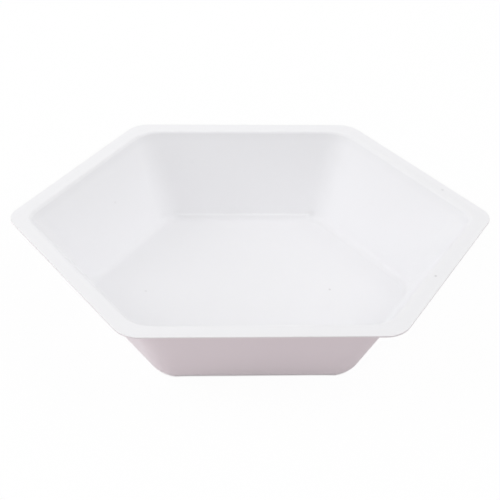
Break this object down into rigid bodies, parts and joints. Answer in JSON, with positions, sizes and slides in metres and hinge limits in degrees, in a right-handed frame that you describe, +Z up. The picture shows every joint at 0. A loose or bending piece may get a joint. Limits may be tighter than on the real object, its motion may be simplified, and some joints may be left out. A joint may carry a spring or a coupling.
{
  "type": "weighing boat",
  "caption": "Shallow white plastic weighing boat with a hexagonal plan, rounded corners, sloping walls, a flat floor and a narrow flat flange round its open top.",
  "frame": {"origin": "centre of the floor's underside, which is the bottom centre of the bounding box", "axes": "+X runs from tip to tip, +Y runs across the two long sides, +Z is up, out of the open top"},
  "size_m": [0.092, 0.067, 0.019],
  "materials": {
    "sheet": "smooth satin white, as formed"
  },
  "bodies": {
    "root": {"weighing_boat": "sheet"}
  },
  "joints": []
}
